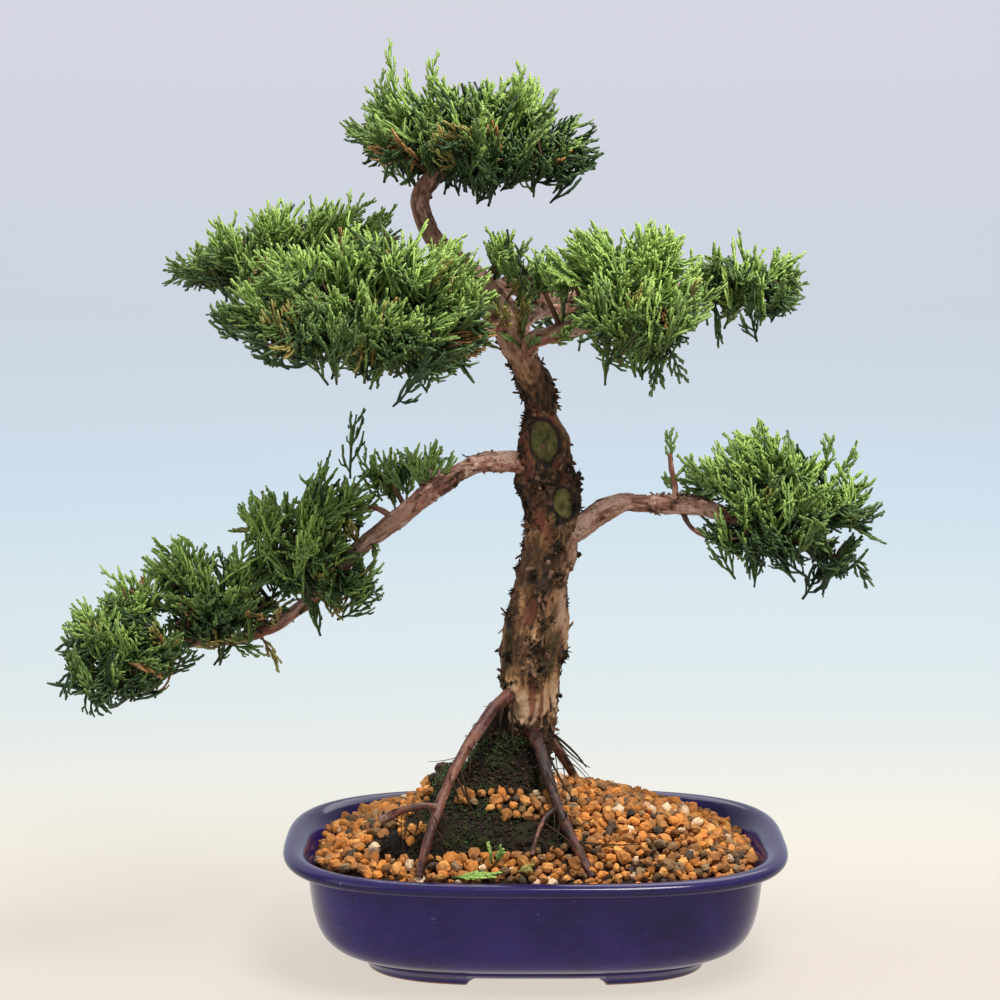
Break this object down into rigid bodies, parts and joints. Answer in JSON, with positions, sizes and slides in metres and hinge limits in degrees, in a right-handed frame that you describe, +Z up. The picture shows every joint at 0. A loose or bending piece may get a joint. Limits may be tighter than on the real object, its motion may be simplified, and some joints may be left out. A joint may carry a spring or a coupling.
{
  "type": "bonsai tree in a pot",
  "caption": "Informal upright juniper bonsai with exposed roots on a gravel mound, in a shallow rounded rectangular pot with a blue glaze and a rolled rim.",
  "frame": {"origin": "middle of the whole object's footprint, on the surface the pot stands on; the pot's own centre is about 29 mm towards +X and 2 mm towards +Y of it", "axes": "+Z up along the trunk, +X to the right and +Y to the back as seen from the pot's front long side"},
  "size_m": [0.3324, 0.1686, 0.375],
  "materials": {
    "glaze": "gloss",
    "screen": "matte",
    "soil": "matte",
    "moss": "matte",
    "gravel": "matte",
    "bark": "matte",
    "root": "satin",
    "leaf": "satin"
  },
  "bodies": {
    "root": {"pot": "glaze", "drain_screen_left": "screen", "drain_screen_right": "screen", "soil": "soil", "root_mound": "moss", "gravel_topping": "gravel", "trunk": "bark", "root_left": "root", "root_left_side": "root", "root_right": "root", "root_right_side": "root", "root_rear": "root", "branch_low_left": "bark", "branch_low_right": "bark", "branch_right_front": "bark", "branch_right_back": "bark", "branch_left_front": "bark", "branch_left_back": "bark", "branch_rear": "bark", "twig_right_upright": "bark", "twig_right_hanging": "bark", "twig_left_dead": "bark", "foliage_crown": "leaf", "foliage_left_front": "leaf", "foliage_left_back": "leaf", "foliage_right_front": "leaf", "foliage_right_back": "leaf", "foliage_rear": "leaf", "foliage_low_right": "leaf", "foliage_low_left_tip": "leaf", "foliage_low_left_middle": "leaf", "foliage_low_left_upper": "leaf", "foliage_low_left_inner": "leaf", "foliage_centre": "leaf"}
  },
  "joints": []
}
